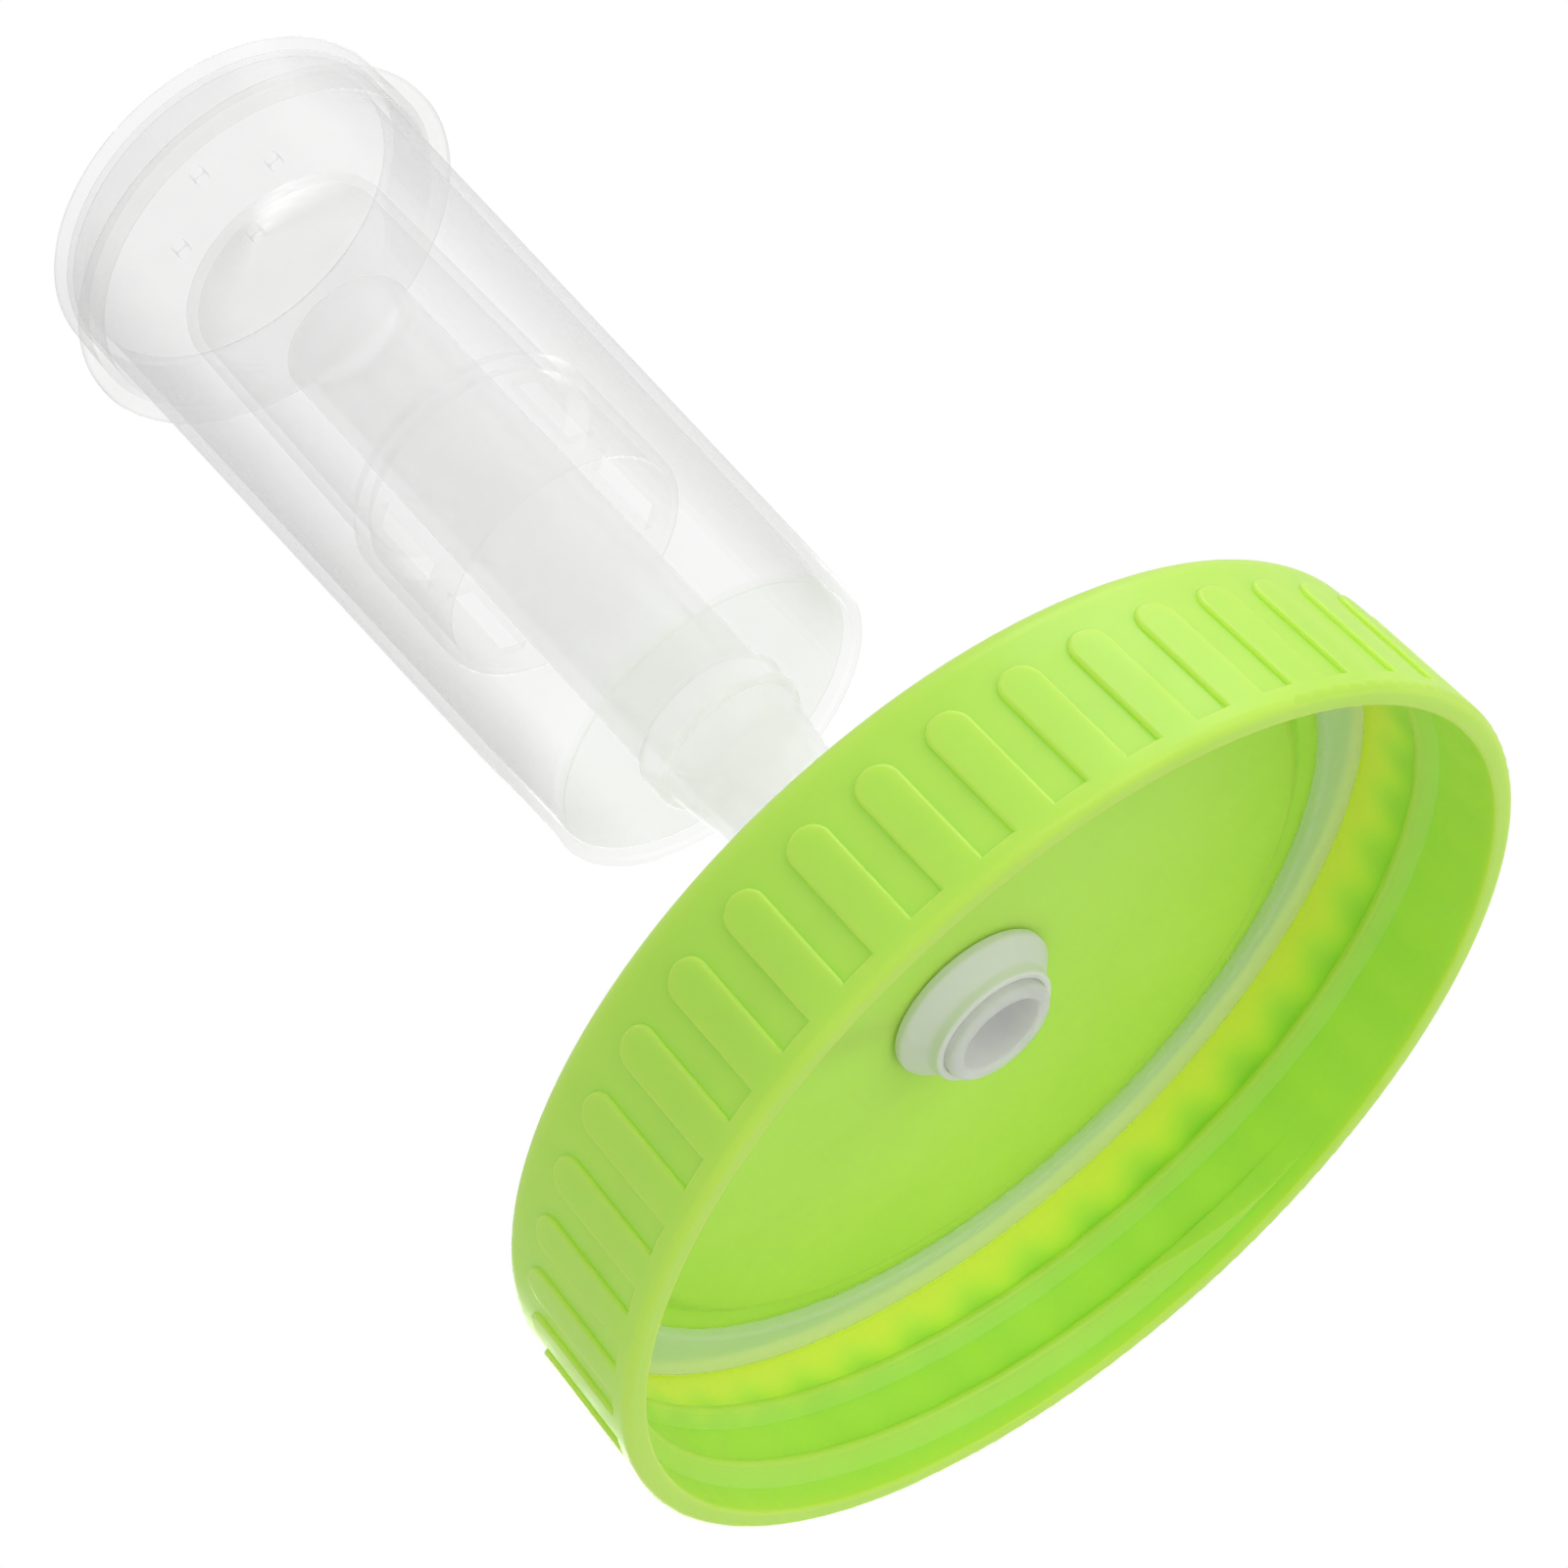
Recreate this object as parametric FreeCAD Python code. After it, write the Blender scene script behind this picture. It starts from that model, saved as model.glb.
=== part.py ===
"""Fermentation lid with a three-piece airlock, in millimetres.

The origin is the centre of the lid's rim plane, +Z runs up the airlock and -Y is the front.
The tethered stopper lies towards -X.
"""

import FreeCAD
import Part

import math
import os

V = FreeCAD.Vector
UP = V(0, 0, 1)

# Screw lid
RIM_R = 46.0
LID_H = 18.2
SHOULDER_R = 45.1
SHOULDER_FILLET = 2.2
MOUTH_R = 43.9
MOUTH_DEPTH = 1.7
INNER_R = 43.3
PLATE = 1.5
RECESS_R = 35.6
RECESS_DEPTH = 1.1
BOSS_FLAT_R = 35.2
BOSS_R = 36.6
HOLE_R = 6.2

# Grip pads on the lid's side, level with the band at its rim
BAND_TOP = 2.0
PAD_RAISE = 0.4
PAD_COUNT = 42
PAD_PHASE = -118.2
PAD_W = 3.9
PAD_TOP = 13.9
PAD_FILLET = 0.34

# Jar thread inside the lid, right-handed
PITCH = 6.35
THREAD_TURNS = 1.4
THREAD_START_Z = 3.0
THREAD_START_DEG = 20.0
THREAD_CREST_R = 42.5
THREAD_ROUND = 0.5
THREAD_FLANK_R = 42.8
THREAD_ROOT_R = 44.0
THREAD_STEEP = 1.0
THREAD_GENTLE = 2.1
THREAD_RUN_OUT_DEG = 35.0

# Sealing gasket
GASKET_IN_R = 38.4
GASKET_OUT_R = 43.0
GASKET_T = 1.4

# Grommet, its tether and the stopper
STEM_SEAT_R = 5.25
SEAT_CLEARANCE = 0.07
HOLE_CLEARANCE = 0.03
FLANGE_TOP_R = 7.5
FLANGE_TOP_T = 1.4
FLANGE_LOW_R = 7.8
FLANGE_LOW_T = 3.6
FLANGE_EDGE_T = 0.8
FLANGE_NECK_T = 2.6
FLANGE_NECK_R = 6.15
FLANGE_TIP_R = 6.0
STRAP_W = 2.6
STRAP_T = 0.9
STRAP_LIFT = 0.3
FOLD_X = -13.5
PLUG_X = 2 * FOLD_X
PLUG_BASE_R = 6.0
PLUG_BASE_T = 1.2
PLUG_R = 5.25
PLUG_TIP_R = 4.85
PLUG_H = 5.4

# Airlock: cup, riser tube and stem
STEM_END_Z = 11.0
STEM_SEAT_TOP_Z = 19.5
STEM_NECK_Z = 42.5
STEM_NECK_R = 6.0
STEM_TOP_R = 6.85
STEM_BORE_R = 3.9
COLLAR_Z = 48.4
COLLAR_R = 7.65
CUP_Z = 51.4
CUP_LOW_R = 16.6
CUP_TOP_R = 17.8
CUP_TOP_Z = 127.4
CUP_WALL = 1.1
CUP_FLOOR = 1.3
CUP_CORNER = 0.5
CUP_FOOT_R = 15.4
CUP_FOOT = 0.4
RISER_LOW_R = 6.9
RISER_TOP_R = 6.7
RISER_TOP_Z = 108.2
RISER_WALL = 1.3
MOULDING_GAP = 0.02

# Float: heights with its cone seated on the riser's rim, and how far above its seat it stands
FLOAT_RISE = 11.0
FLOAT_Z = 62.5
FLOAT_SKIRT_R = 12.9
FLOAT_STEP_Z = 76.6
FLOAT_STEP_H = 1.8
FLOAT_LOW_R = 11.75
FLOAT_TOP_R = 11.35
FLOAT_SHOULDER_Z = 107.0
FLOAT_CONE_DEG = 30.0
FLOAT_WALL = 1.0
FLOAT_FOOT = 1.6
WINDOW_COUNT = 4
WINDOW_W = 3.0
WINDOW_LOW_Z = 65.4
WINDOW_HIGH_Z = 73.8

# Cap
CAP_TOP_Z = 129.2
CAP_T = 1.3
CAP_LOW_Z = 120.9
CAP_LOW_R = 19.0
CAP_TOP_R = 18.8
CAP_BEAD_R = 20.4
CAP_BEAD_H = 1.4
CAP_CLEARANCE = 0.3
VENT_COUNT = 4
VENT_R = 0.75
VENT_RING_R = 6.0

CEILING_Z = LID_H - PLATE
DECK_Z = LID_H - RECESS_DEPTH
BOSS_Z = DECK_Z - PLATE
LONG = 400.0


def outline(corners):
    """A closed wire in the XZ plane from (r, z) or (r, z, fillet radius) corners."""
    points = [V(c[0], 0, c[1]) for c in corners]
    edges = []
    joins = []
    for i, corner in enumerate(corners):
        here = points[i]
        if len(corner) < 3:
            joins.append((here, here))
            continue
        back = (points[i - 1] - here).normalize()
        ahead = (points[(i + 1) % len(points)] - here).normalize()
        half = back.getAngle(ahead) / 2
        reach = corner[2] / math.tan(half)
        bisector = (back + ahead).normalize()
        middle = here + bisector * (corner[2] / math.sin(half) - corner[2])
        start, end = here + back * reach, here + ahead * reach
        joins.append((start, end))
        edges.append((i, Part.Arc(start, middle, end).toShape()))
    for i in range(len(corners)):
        start, end = joins[i][1], joins[(i + 1) % len(corners)][0]
        edges.append((i + 0.5, Part.LineSegment(start, end).toShape()))
    return Part.Wire([edge for _, edge in sorted(edges, key=lambda item: item[0])])


def turned(corners):
    """A solid of revolution about the Z axis."""
    return Part.Face(outline(corners)).revolve(V(0, 0, 0), UP, 360)


def around(shape, count, phase=0.0):
    """A compound of equally spaced turned copies."""
    copies = []
    for i in range(count):
        copy = shape.copy()
        copy.rotate(V(0, 0, 0), UP, phase + 360.0 * i / count)
        copies.append(copy)
    return Part.makeCompound(copies)


def between(low, high, z):
    """The radius at height z on the line between two (r, z) points."""
    return low[0] + (high[0] - low[0]) * (z - low[1]) / (high[1] - low[1])


def lid_body():
    band = between((RIM_R, 0), (SHOULDER_R + PAD_RAISE, LID_H), BAND_TOP)
    return turned([
        (MOUTH_R, 0, 0.35),
        (RIM_R, 0, 0.8),
        (band, BAND_TOP, 0.25),
        (band - PAD_RAISE, BAND_TOP),
        (SHOULDER_R, LID_H, SHOULDER_FILLET),
        (RECESS_R, LID_H, 0.5),
        (RECESS_R - 0.6, DECK_Z, 0.5),
        (HOLE_R, DECK_Z),
        (HOLE_R, BOSS_Z),
        (BOSS_FLAT_R, BOSS_Z, 0.7),
        (BOSS_R, CEILING_Z, 0.5),
        (INNER_R, CEILING_Z, 0.5),
        (MOUTH_R, MOUTH_DEPTH),
    ])


def grip_pads():
    """Raised pads with round upper ends and soft edges, running down into the band."""
    middle = PAD_TOP - PAD_W / 2
    slot = Part.makeBox(4, PAD_W, middle - BAND_TOP / 2, V(RIM_R - 3, -PAD_W / 2, BAND_TOP / 2))
    end = Part.makeCylinder(PAD_W / 2, 4, V(RIM_R - 3, 0, middle), V(1, 0, 0))
    skin = turned([
        (RIM_R - 1.5, 0),
        (RIM_R, 0),
        (SHOULDER_R + PAD_RAISE, LID_H),
        (SHOULDER_R - 1.1, LID_H),
    ])
    pad = skin.common(slot.fuse(end).removeSplitter()).Solids[0]
    front = max(pad.Faces, key=lambda face: face.CenterOfMass.x)
    rounded = [edge for edge in front.Edges if edge.BoundBox.ZMax > BAND_TOP]
    return around(pad.makeFillet(PAD_FILLET, rounded), PAD_COUNT, PAD_PHASE)


def run_out(angle, z):
    """An off-centre cylinder that fades the thread into the wall towards the given angle."""
    wall = between((MOUTH_R, MOUTH_DEPTH), (INNER_R, CEILING_Z), z) + 0.05
    shift = (wall - THREAD_CREST_R) / (1 - math.cos(math.radians(THREAD_RUN_OUT_DEG)))
    direction = V(math.cos(math.radians(angle)), math.sin(math.radians(angle)), 0)
    height = PITCH - 1
    return Part.makeCylinder(wall - shift, height, direction * shift + V(0, 0, z - height / 2))


def jar_thread():
    """The ridge that takes the jar's thread, steeper towards the ceiling and faded at both ends."""
    helix = Part.makeHelix(PITCH, PITCH * THREAD_TURNS, THREAD_ROOT_R)
    low, high = V(THREAD_ROOT_R, 0, -THREAD_GENTLE), V(THREAD_ROOT_R, 0, THREAD_STEEP)
    crest_low, crest_high = V(THREAD_FLANK_R, 0, -THREAD_ROUND), V(THREAD_FLANK_R, 0, THREAD_ROUND)
    section = Part.Wire([
        Part.LineSegment(low, crest_low).toShape(),
        Part.Arc(crest_low, V(THREAD_CREST_R, 0, 0), crest_high).toShape(),
        Part.LineSegment(crest_high, high).toShape(),
        Part.LineSegment(high, low).toShape(),
    ])
    ridge = Part.Wire(helix).makePipeShell([section], True, True)
    ridge.translate(V(0, 0, THREAD_START_Z))
    ridge.rotate(V(0, 0, 0), UP, THREAD_START_DEG)
    end_z = THREAD_START_Z + PITCH * THREAD_TURNS
    end_deg = THREAD_START_DEG + 360 * THREAD_TURNS
    mouth = Part.makeCylinder(RIM_R, MOUTH_DEPTH)
    ends = run_out(THREAD_START_DEG, THREAD_START_Z).fuse(run_out(end_deg, end_z))
    return ridge.cut(mouth).cut(ends)


def screw_lid():
    return lid_body().fuse(grip_pads()).fuse(jar_thread())


def sealing_gasket():
    top = CEILING_Z - 0.02
    return turned([
        (GASKET_IN_R, top - GASKET_T, 0.4),
        (GASKET_OUT_R, top - GASKET_T, 0.4),
        (GASKET_OUT_R, top, 0.4),
        (GASKET_IN_R, top, 0.4),
    ])


def strap(x_low, x_high):
    z = DECK_Z + STRAP_LIFT
    return Part.makeBox(x_high - x_low, STRAP_W, STRAP_T, V(x_low, -STRAP_W / 2, z))


def grommet():
    """The silicone bush in the lid's hole, with the fixed half of its tether."""
    bore = STEM_SEAT_R + SEAT_CLEARANCE
    neck = HOLE_R - HOLE_CLEARANCE
    bush = turned([
        (bore, BOSS_Z - FLANGE_LOW_T, 0.15),
        (FLANGE_TIP_R, BOSS_Z - FLANGE_LOW_T, 0.3),
        (FLANGE_NECK_R, BOSS_Z - FLANGE_NECK_T, 1.0),
        (FLANGE_LOW_R, BOSS_Z - FLANGE_EDGE_T, 0.5),
        (FLANGE_LOW_R, BOSS_Z - HOLE_CLEARANCE, 0.2),
        (neck, BOSS_Z - HOLE_CLEARANCE),
        (neck, DECK_Z + HOLE_CLEARANCE),
        (FLANGE_TOP_R, DECK_Z + HOLE_CLEARANCE),
        (FLANGE_TOP_R, DECK_Z + FLANGE_TOP_T, 0.5),
        (bore, DECK_Z + FLANGE_TOP_T, 0.3),
    ])
    inside = Part.makeCylinder(FLANGE_TOP_R - 0.6, LONG, V(0, 0, 0))
    return bush.fuse(strap(FOLD_X, 0).cut(inside))


def tether_strap():
    """The half of the tether that folds over with the stopper."""
    return strap(PLUG_X, FOLD_X).cut(Part.makeCylinder(PLUG_BASE_R, LONG, V(PLUG_X, 0, 0)))


def stopper_plug():
    base = DECK_Z + STRAP_LIFT
    step = base + PLUG_BASE_T
    plug = turned([
        (0, base),
        (PLUG_BASE_R, base, 0.4),
        (PLUG_BASE_R, step, 0.4),
        (PLUG_R, step),
        (PLUG_TIP_R, step + PLUG_H, 0.7),
        (0, step + PLUG_H),
    ])
    plug.translate(V(PLUG_X, 0, 0))
    return plug


def airlock_cup():
    """The clear cup that holds the water, open at the top, on a low foot ring."""
    low, high = (CUP_LOW_R, CUP_Z), (CUP_TOP_R, CUP_TOP_Z)
    floor = CUP_Z + CUP_FLOOR
    return turned([
        (RISER_LOW_R + MOULDING_GAP, CUP_Z + CUP_FOOT),
        (CUP_FOOT_R, CUP_Z + CUP_FOOT),
        (CUP_FOOT_R + 0.1, CUP_Z, 0.15),
        (CUP_LOW_R, CUP_Z, CUP_CORNER),
        (CUP_TOP_R, CUP_TOP_Z, 0.4),
        (CUP_TOP_R - CUP_WALL, CUP_TOP_Z, 0.4),
        (between(low, high, floor) - CUP_WALL, floor, 0.5),
        (RISER_LOW_R + MOULDING_GAP, floor),
    ])


def riser_stem():
    """The tube through the cup's floor: riser above, collar under the floor, stem below."""
    collar_top = CUP_Z + CUP_FOOT - MOULDING_GAP
    bore_top_r = RISER_TOP_R - RISER_WALL
    return turned([
        (STEM_BORE_R, STEM_END_Z, 0.3),
        (STEM_SEAT_R, STEM_END_Z, 0.5),
        (STEM_SEAT_R, STEM_SEAT_TOP_Z),
        (STEM_NECK_R, STEM_NECK_Z, 8),
        (STEM_TOP_R, COLLAR_Z),
        (COLLAR_R, COLLAR_Z, 0.7),
        (COLLAR_R, collar_top, 0.3),
        (RISER_LOW_R, collar_top),
        (RISER_LOW_R, CUP_Z + CUP_FLOOR),
        (RISER_TOP_R, RISER_TOP_Z, 0.3),
        (bore_top_r, RISER_TOP_Z, 0.3),
        (bore_top_r, COLLAR_Z + 1),
        (STEM_BORE_R, STEM_SEAT_TOP_Z),
    ])


def float_shell():
    slope = math.tan(math.radians(FLOAT_CONE_DEG))
    apex = FLOAT_SHOULDER_Z + FLOAT_TOP_R * slope
    inner_shoulder = FLOAT_SHOULDER_Z - FLOAT_WALL * slope
    inner_top_r = FLOAT_TOP_R - FLOAT_WALL
    inner_apex = inner_shoulder + inner_top_r * slope
    step_top = FLOAT_STEP_Z + FLOAT_STEP_H
    return turned([
        (0, inner_apex),
        (inner_top_r, inner_shoulder),
        (FLOAT_LOW_R - FLOAT_WALL, step_top - 1, 0.4),
        (FLOAT_SKIRT_R - FLOAT_WALL, FLOAT_STEP_Z - 1, 0.4),
        (FLOAT_SKIRT_R - FLOAT_WALL, FLOAT_Z, 0.3),
        (FLOAT_SKIRT_R - FLOAT_WALL * 0.1, FLOAT_Z, 0.55),
        (FLOAT_SKIRT_R, FLOAT_Z + FLOAT_FOOT, 0.5),
        (FLOAT_SKIRT_R, FLOAT_STEP_Z, 0.5),
        (FLOAT_LOW_R, step_top, 0.5),
        (FLOAT_TOP_R, FLOAT_SHOULDER_Z, 0.6),
        (0, apex),
    ])


def airlock_float():
    window = Part.makeBox(FLOAT_SKIRT_R + 2, WINDOW_W, WINDOW_HIGH_Z - WINDOW_LOW_Z,
                          V(0, -WINDOW_W / 2, WINDOW_LOW_Z))
    shell = float_shell().cut(around(window, WINDOW_COUNT))
    shell.translate(V(0, 0, FLOAT_RISE))
    return shell


def vent_cap():
    inner = CUP_TOP_R + CAP_CLEARANCE
    cap = turned([
        (0, CAP_TOP_Z - CAP_T),
        (inner, CAP_TOP_Z - CAP_T, 0.3),
        (inner, CAP_LOW_Z, 0.3),
        (CAP_BEAD_R, CAP_LOW_Z, 0.5),
        (CAP_BEAD_R, CAP_LOW_Z + CAP_BEAD_H, 0.5),
        (CAP_LOW_R, CAP_LOW_Z + CAP_BEAD_H),
        (CAP_TOP_R, CAP_TOP_Z, 0.6),
        (0, CAP_TOP_Z),
    ])
    vent = Part.makeCylinder(VENT_R, 4, V(VENT_RING_R, 0, CAP_TOP_Z - 3))
    return cap.cut(around(vent, VENT_COUNT, 45.0))


NODES = {
    "screw_lid": screw_lid,
    "sealing_gasket": sealing_gasket,
    "grommet": grommet,
    "tether_strap": tether_strap,
    "stopper_plug": stopper_plug,
    "airlock_cup": airlock_cup,
    "riser_stem": riser_stem,
    "airlock_float": airlock_float,
    "vent_cap": vent_cap,
}

os.makedirs("parts", exist_ok=True)
for name, make in NODES.items():
    shape = make()
    if len(shape.Solids) != 1 or not shape.isValid():
        raise RuntimeError(f"{name} has {len(shape.Solids)} solids, valid: {shape.isValid()}")
    shape.Solids[0].exportStep(f"parts/{name}.step")
    box = shape.BoundBox
    print(f"{name}: {shape.Volume / 1000:.2f} cm3, z {box.ZMin:.2f} to {box.ZMax:.2f}, x {box.XLength:.2f}")
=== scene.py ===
"""Looks of the fermentation lid with its airlock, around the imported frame, in metres."""

import math

import bmesh
import bpy
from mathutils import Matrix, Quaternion, Vector


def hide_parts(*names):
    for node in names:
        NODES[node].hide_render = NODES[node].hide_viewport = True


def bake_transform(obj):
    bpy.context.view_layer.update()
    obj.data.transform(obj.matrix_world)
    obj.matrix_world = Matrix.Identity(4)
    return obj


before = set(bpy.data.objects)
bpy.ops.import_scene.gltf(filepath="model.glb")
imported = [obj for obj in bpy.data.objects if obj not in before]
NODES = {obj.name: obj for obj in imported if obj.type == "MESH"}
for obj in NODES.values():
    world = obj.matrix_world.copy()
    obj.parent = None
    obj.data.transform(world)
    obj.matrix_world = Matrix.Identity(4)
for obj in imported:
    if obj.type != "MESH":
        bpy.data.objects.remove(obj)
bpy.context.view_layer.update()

MM = 0.001

# Camera: below the rim, looking up into the lid
AIM = Vector((0.7, -0.7, 42.2)) * MM
DISTANCE = 393.4 * MM
AZIMUTH = -134.32
ELEVATION = -28.63
ROLL = -43.1
LENS = 105.72

# Lights: azimuth and elevation in degrees, size in metres and power in watts, all at one distance
LIGHT_DISTANCE = 0.9
LIGHTS = {
    "Key": (-60, 35, 0.5, 1.9),
    "Fill": (-80, -26, 0.6, 1.8),
    "Back": (62, 16, 0.5, 3.4),
}

# Light from the white surroundings, as each kind of ray meets it
SEEN = 1.0
SOFT_LIGHT = 0.7
REFLECTED = 0.7

# Floor: a disc just under the lid, part clear in its middle and wholly clear at its edge
FLOOR_R = 0.6
FLOOR_SEGMENTS = 96
FLOOR_Z = -0.05 * MM
FADE_FROM = 0.12
FADE_TO = 0.5
FADE_START = 0.3

# Lid: painted glow, a lighter tone painted on the inside of the wall above and between its grip pads,
# where light comes through it
PADS = 42
PAD_PHASE = math.radians(-118.2)
WALL_INSIDE_R = 44.0 * MM
GLOW_FROM_Z = 9.5 * MM
GLOW_FULL_Z = 15.0 * MM
GLOW_TO_Z = 16.9 * MM
# How far the painted glow's lower edge dips and rises with the pads
GLOW_PAD_SCALLOP = 0.7 * MM
GLOW_EDGE = 0.5 * MM
GLOW_DEPTH = 2 * MM
# Colour of the painted glow, where light comes through the wall
PAINTED_GLOW_TONE = (0.74, 1.0, 0.12)

# A Mix node has sockets of the same name for each kind of value, so the colour ones go by number
COLOUR_A = 6
COLOUR_B = 7
COLOUR_RESULT = 2

# Clear plastic: how many surfaces a ray may cross, and the cup's polished floor clearer than its side
CLEAR_LAYERS = 48
FLOOR_HAZE = 0.4
HAZE_FROM_Z = 53 * MM
FULL_HAZE_Z = 58 * MM

# Riser and stem: cloudy below the first height, clearer above the second
CLOUDY_TO_Z = 14 * MM
CLEARER_FROM_Z = 45 * MM

# Tether: where it folds, and where its bend starts and ends
FOLD_X = -13.5 * MM
STRAP_CUTS = 28
STRAP_START_X = -8.5 * MM
STRAP_END_X = -20 * MM
WELD = 0.002 * MM
SHARP_FROM = math.radians(35)


def direction(azimuth, elevation):
    a, e = math.radians(azimuth), math.radians(elevation)
    return Vector((math.cos(e) * math.cos(a), math.cos(e) * math.sin(a), math.sin(e)))


def add_camera():
    cam = bpy.data.objects.new("Camera", bpy.data.cameras.new("Camera"))
    bpy.context.scene.collection.objects.link(cam)
    back = direction(AZIMUTH, ELEVATION)
    cam.location = AIM + back * DISTANCE
    cam.rotation_mode = "QUATERNION"
    look = (-back).to_track_quat("-Z", "Y")
    cam.rotation_quaternion = look @ Quaternion((0, 0, 1), math.radians(ROLL))
    cam.data.sensor_width = 36
    cam.data.lens = LENS
    cam.data.clip_start = 0.01
    cam.data.clip_end = 50
    bpy.context.scene.camera = cam


def set_world():
    """White surroundings: full white behind the object, dimmer as light and in reflections."""
    world = bpy.data.worlds.new("Studio")
    world.use_nodes = True
    bpy.context.scene.world = world
    nt = world.node_tree
    ray = nt.nodes.new("ShaderNodeLightPath")
    reflected = nt.nodes.new("ShaderNodeMix")
    reflected.inputs["A"].default_value = SOFT_LIGHT
    reflected.inputs["B"].default_value = REFLECTED
    nt.links.new(ray.outputs["Is Glossy Ray"], reflected.inputs["Factor"])
    seen = nt.nodes.new("ShaderNodeMix")
    seen.inputs["B"].default_value = SEEN
    nt.links.new(reflected.outputs["Result"], seen.inputs["A"])
    nt.links.new(ray.outputs["Is Camera Ray"], seen.inputs["Factor"])
    back = nt.nodes["Background"]
    back.inputs["Color"].default_value = (1, 1, 1, 1)
    nt.links.new(seen.outputs["Result"], back.inputs["Strength"])
    bpy.context.scene.view_settings.view_transform = "Standard"


def area_light(name, azimuth, elevation, size, power):
    light = bpy.data.lights.new(name, "AREA")
    light.shape = "DISK"
    light.size = size
    light.energy = power
    lamp = bpy.data.objects.new(name, light)
    bpy.context.scene.collection.objects.link(lamp)
    away = direction(azimuth, elevation)
    lamp.location = AIM + away * LIGHT_DISTANCE
    lamp.rotation_mode = "QUATERNION"
    lamp.rotation_quaternion = (-away).to_track_quat("-Z", "Y")


class Finish:
    """A node material with one Principled shader, given its mean colour and roughness, then detail."""

    def __init__(self, name, colour, roughness, **values):
        self.mat = bpy.data.materials.new(name)
        self.mat.use_nodes = True
        self.nt = self.mat.node_tree
        self.shader = self.nt.nodes["Principled BSDF"]
        self.output = self.nt.nodes["Material Output"]
        self.place = self.nt.nodes.new("ShaderNodeTexCoord").outputs["Object"]
        self.shader.inputs["Base Color"].default_value = (*colour, 1)
        self.shader.inputs["Roughness"].default_value = roughness
        self.shader.inputs["IOR"].default_value = 1.49
        for key, value in values.items():
            self.shader.inputs[key.replace("_", " ")].default_value = value

    def add(self, kind, **inputs):
        node = self.nt.nodes.new("ShaderNode" + kind)
        for key, value in inputs.items():
            socket = node.inputs[key.replace("_", " ")]
            if isinstance(value, bpy.types.NodeSocket):
                self.nt.links.new(value, socket)
            else:
                socket.default_value = value
        return node

    def noise(self, size, stretch=(1, 1, 1), detail=2.0):
        """Noise with features of the given size in metres, longer where stretch is more than 1."""
        per_metre = [1 / (size * s) for s in stretch]
        mapped = self.add("Mapping", Vector=self.place, Scale=per_metre)
        return self.add("TexNoise", Vector=mapped.outputs[0], Scale=1.0, Detail=detail).outputs["Fac"]

    def spread(self, value, low, high, start=0.3, end=0.7):
        node = self.add("MapRange", Value=value, From_Min=start, From_Max=end, To_Min=low, To_Max=high)
        return node.outputs[0]

    def arithmetic(self, operation, first, second):
        """A sum on two sockets or numbers; an operation on one number leaves out the second."""
        node = self.nt.nodes.new("ShaderNodeMath")
        node.operation = operation
        for socket, value in zip(node.inputs, (first, second)):
            if isinstance(value, bpy.types.NodeSocket):
                self.nt.links.new(value, socket)
            else:
                socket.default_value = value
        return node.outputs[0]

    def tones(self, value, first, second):
        """A colour that drifts between two tones."""
        ramp = self.add("ValToRGB", Fac=value)
        ramp.color_ramp.elements[0].position = 0.3
        ramp.color_ramp.elements[0].color = (*first, 1)
        ramp.color_ramp.elements[1].position = 0.7
        ramp.color_ramp.elements[1].color = (*second, 1)
        return ramp.outputs[0]

    def colour(self, socket):
        self.nt.links.new(socket, self.shader.inputs["Base Color"])

    def sheen_variation(self, value, low, high):
        self.nt.links.new(self.spread(value, low, high), self.shader.inputs["Roughness"])

    def relief(self, *layers):
        """Bump from (height value, depth in metres) layers."""
        normal = None
        for value, depth in layers:
            bump = self.add("Bump", Height=value, Strength=1.0, Distance=depth)
            if normal:
                self.nt.links.new(normal, bump.inputs["Normal"])
            normal = bump.outputs[0]
        self.nt.links.new(normal, self.shader.inputs["Normal"])

    def see_through(self, share, tint):
        """Lets a share of the light straight through; share is a number or a socket."""
        hole = self.add("BsdfTransparent", Color=(*tint, 1))
        mix = self.nt.nodes.new("ShaderNodeMixShader")
        if isinstance(share, float):
            mix.inputs[0].default_value = share
        else:
            self.nt.links.new(share, mix.inputs[0])
        self.nt.links.new(self.shader.outputs[0], mix.inputs[1])
        self.nt.links.new(hole.outputs[0], mix.inputs[2])
        self.nt.links.new(mix.outputs[0], self.output.inputs["Surface"])


def painted_glow(f):
    """Painted glow: a mask for the lighter tone painted on the inside of the lid's wall where light
    comes through, most above the pads and more between them.
    """
    axes = f.add("SeparateXYZ", Vector=f.place)
    x, y, z = axes.outputs
    squares = f.arithmetic("ADD", f.arithmetic("MULTIPLY", x, x), f.arithmetic("MULTIPLY", y, y))
    radius = f.arithmetic("SQRT", squares, 0.0)
    turn = f.arithmetic("SUBTRACT", f.arithmetic("ARCTAN2", y, x), PAD_PHASE)
    pads = f.arithmetic("COSINE", f.arithmetic("MULTIPLY", turn, float(PADS)), 0.0)
    height = f.arithmetic("ADD", z, f.arithmetic("MULTIPLY", pads, -GLOW_PAD_SCALLOP))
    glow_band = f.add("MapRange", Value=height, From_Min=GLOW_FROM_Z, From_Max=GLOW_FULL_Z)
    glow_band.interpolation_type = "SMOOTHSTEP"
    inside = f.spread(radius, 1.0, 0.0, WALL_INSIDE_R, WALL_INSIDE_R + GLOW_EDGE)
    wall = f.spread(radius, 0.0, 1.0, WALL_INSIDE_R - GLOW_DEPTH, WALL_INSIDE_R - GLOW_DEPTH / 2)
    under_top = f.spread(z, 1.0, 0.0, GLOW_TO_Z, GLOW_TO_Z + GLOW_EDGE)
    high = f.arithmetic("MULTIPLY", glow_band.outputs[0], under_top)
    return f.arithmetic("MULTIPLY", high, f.arithmetic("MULTIPLY", inside, wall))


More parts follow.
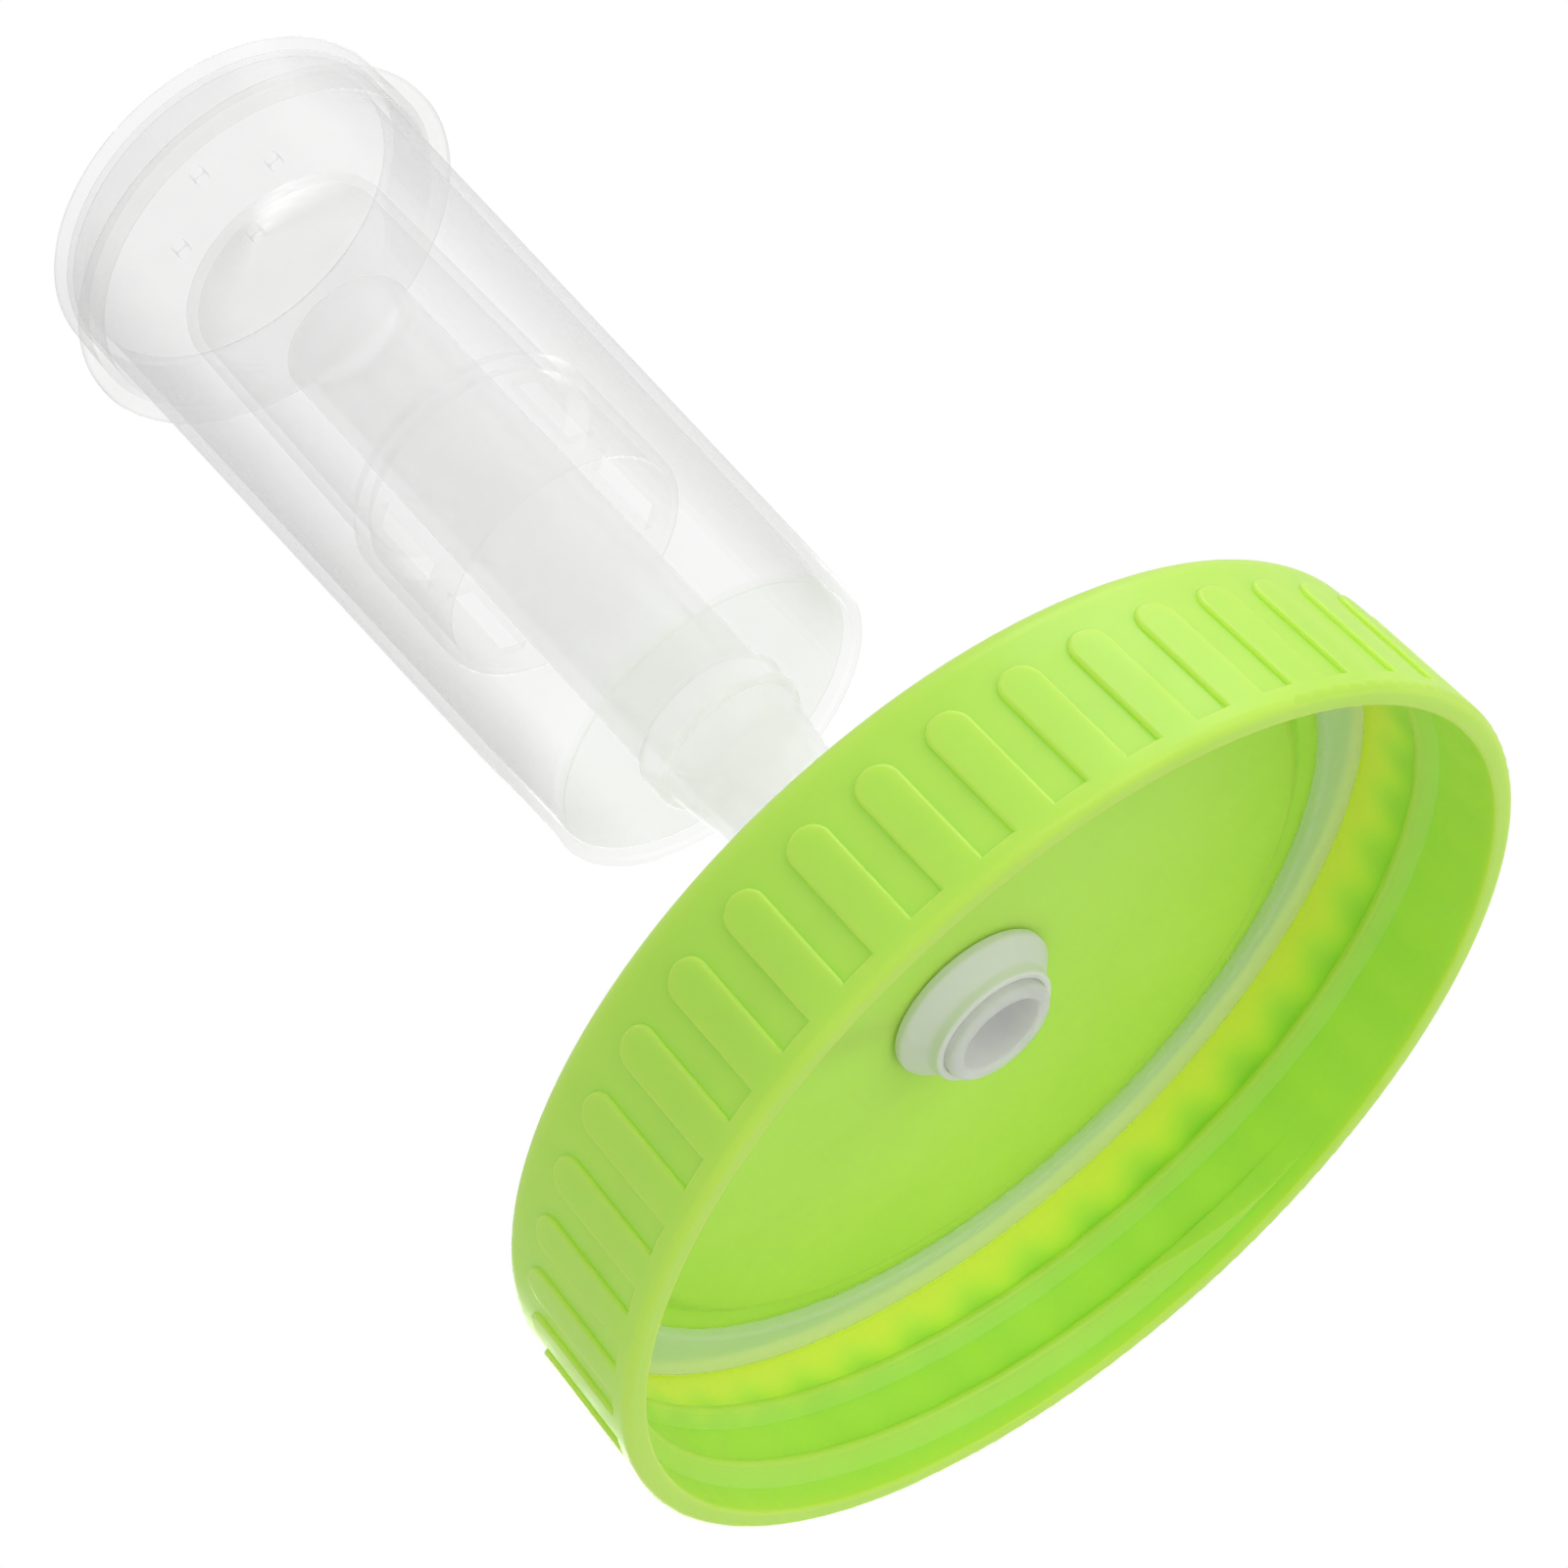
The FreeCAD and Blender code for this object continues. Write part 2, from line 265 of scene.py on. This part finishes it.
def green_plastic():
    """Translucent green polypropylene with a fine satin texture and faint flow marks, and a painted
    glow on the inside of its wall.
    """
    f = Finish("LidGreen", (0.505, 0.8, 0.105), 0.41, Subsurface_Weight=1.0, Subsurface_Scale=0.0035,
               Subsurface_Radius=(1.0, 1.0, 0.35), Specular_IOR_Level=0.45)
    body = f.tones(f.noise(14 * MM, (1, 1, 2)), (0.49, 0.785, 0.098), (0.52, 0.815, 0.112))
    # Painted glow: the base colour turns a lighter yellow-green where light comes through the wall
    mix = f.nt.nodes.new("ShaderNodeMix")
    mix.data_type = "RGBA"
    f.nt.links.new(painted_glow(f), mix.inputs["Factor"])
    f.nt.links.new(body, mix.inputs[COLOUR_A])
    mix.inputs[COLOUR_B].default_value = (*PAINTED_GLOW_TONE, 1)
    f.colour(mix.outputs[COLOUR_RESULT])
    f.sheen_variation(f.noise(3 * MM), 0.36, 0.46)
    f.relief((f.noise(6 * MM, detail=1.0), 0.05 * MM), (f.noise(0.25 * MM), 0.006 * MM))
    return f.mat


def silicone(name, share, depth):
    """Soft milky silicone, slightly dusty, with light passing through it."""
    f = Finish(name, (0.973, 0.99, 0.945), 0.51, Subsurface_Weight=0.2, Subsurface_Scale=depth,
               Subsurface_Radius=(1.0, 1.0, 0.9))
    f.colour(f.tones(f.noise(5 * MM), (0.96, 0.985, 0.93), (0.985, 0.995, 0.96)))
    f.sheen_variation(f.noise(1.2 * MM), 0.42, 0.6)
    f.relief((f.noise(2 * MM), 0.02 * MM), (f.noise(0.2 * MM), 0.006 * MM))
    f.see_through(share, (0.995, 1.0, 0.995))
    return f.mat


def milky_plastic():
    """Natural polypropylene with long faint flow marks, cloudier at the stem's thick lower end."""
    f = Finish("MilkyPlastic", (0.96, 0.955, 0.95), 0.34, Subsurface_Weight=1.0, Subsurface_Scale=0.003,
               Subsurface_Radius=(1.0, 1.0, 0.9))
    flow = f.noise(2.5 * MM, (1, 1, 8))
    f.colour(f.tones(flow, (0.94, 0.935, 0.93), (0.98, 0.975, 0.97)))
    f.sheen_variation(f.noise(1.5 * MM), 0.28, 0.4)
    f.relief((flow, 0.02 * MM), (f.noise(0.3 * MM), 0.001 * MM))
    height = f.add("SeparateXYZ", Vector=f.place).outputs[2]
    f.see_through(f.spread(height, 0.4, 0.8, CLOUDY_TO_Z, CLEARER_FROM_Z), (0.99, 0.99, 0.99))
    return f.mat


def clear_plastic(name, haze, edge):
    """Thin clear plastic: mostly see-through, hazier and greyer where the wall is seen edge on."""
    f = Finish(name, (0.81, 0.8, 0.81), 0.22)
    flow = f.noise(4 * MM, (1, 1, 10))
    f.sheen_variation(f.noise(2 * MM), 0.16, 0.28)
    f.relief((flow, 0.03 * MM), (f.noise(0.4 * MM), 0.001 * MM))
    facing = f.add("LayerWeight", Blend=0.5).outputs["Facing"]
    solid = f.arithmetic("MULTIPLY", f.spread(facing, haze, edge, 0.35, 1.0), f.spread(flow, 0.9, 1.1))
    height = f.add("SeparateXYZ", Vector=f.place).outputs[2]
    solid = f.arithmetic("MULTIPLY", solid, f.spread(height, FLOOR_HAZE, 1.0, HAZE_FROM_Z, FULL_HAZE_Z))
    f.see_through(f.arithmetic("SUBTRACT", 1.0, solid), (0.995, 0.995, 0.995))
    return f.mat


def add_floor():
    """A pale floor, seen from above only, that fades into the white around it."""
    mesh = bpy.data.meshes.new("Floor")
    bm = bmesh.new()
    bmesh.ops.create_circle(bm, cap_ends=True, segments=FLOOR_SEGMENTS, radius=FLOOR_R)
    bm.to_mesh(mesh)
    bm.free()
    floor = bpy.data.objects.new("Floor", mesh)
    bpy.context.scene.collection.objects.link(floor)
    floor.location.z = FLOOR_Z
    floor.visible_diffuse = False
    floor.visible_glossy = False
    floor.visible_transmission = False
    floor.visible_shadow = False
    f = Finish("FloorPaper", (0.93, 0.93, 0.93), 0.9, Specular_IOR_Level=0.1)
    f.relief((f.noise(1.5 * MM), 0.01 * MM))
    away = f.add("VectorMath")
    away.operation = "LENGTH"
    f.nt.links.new(f.place, away.inputs[0])
    distance = away.outputs["Value"]
    fade = f.add("MapRange", Value=distance, From_Min=FADE_FROM, From_Max=FADE_TO, To_Min=FADE_START)
    fade.interpolation_type = "SMOOTHSTEP"
    below = f.add("NewGeometry").outputs["Backfacing"]
    f.see_through(f.arithmetic("MAXIMUM", fade.outputs[0], below), (1, 1, 1))
    mesh.materials.append(f.mat)


def bending_tether(mat):
    """Grommet and strap joined as the one soft moulding they are, with cuts across the strap where it
    bends as the stopper folds over.
    """
    bm = bmesh.new()
    bm.from_mesh(NODES["grommet"].data)
    bm.from_mesh(NODES["tether_strap"].data)
    joint = [f for f in bm.faces if all(abs(v.co.x - FOLD_X) < 5 * WELD for v in f.verts)]
    bmesh.ops.delete(bm, geom=joint, context="FACES")
    bmesh.ops.remove_doubles(bm, verts=bm.verts, dist=WELD)
    for i in range(STRAP_CUTS + 1):
        x = STRAP_START_X + (STRAP_END_X - STRAP_START_X) * i / STRAP_CUTS
        geometry = bm.verts[:] + bm.edges[:] + bm.faces[:]
        bmesh.ops.bisect_plane(bm, geom=geometry, plane_co=(x, 0, 0), plane_no=(1, 0, 0))
    mesh = bpy.data.meshes.new("SiliconeTether")
    bm.to_mesh(mesh)
    bm.free()
    mesh.shade_smooth()
    mesh.set_sharp_from_angle(angle=SHARP_FROM)
    mesh.materials.clear()
    mesh.materials.append(mat)
    tether = bpy.data.objects.new("SiliconeTether", mesh)
    bpy.context.scene.collection.objects.link(tether)
    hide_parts("grommet", "tether_strap")
    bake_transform(tether)


def paint(node, mat):
    for s in NODES[node].material_slots:
        s.material = mat


add_camera()
set_world()
for light, values in LIGHTS.items():
    area_light(light, *values)
bpy.context.scene.cycles.transparent_max_bounces = CLEAR_LAYERS
add_floor()

grommet_silicone = silicone("GrommetSilicone", 0.2, 0.001)
paint("screw_lid", green_plastic())
paint("sealing_gasket", silicone("GasketSilicone", 0.7, 0.001))
paint("stopper_plug", grommet_silicone)
bending_tether(grommet_silicone)
paint("riser_stem", milky_plastic())
paint("airlock_cup", clear_plastic("CupPlastic", 0.06, 0.55))
paint("airlock_float", clear_plastic("FloatPlastic", 0.025, 0.3))
paint("vent_cap", clear_plastic("CapPlastic", 0.09, 0.5))
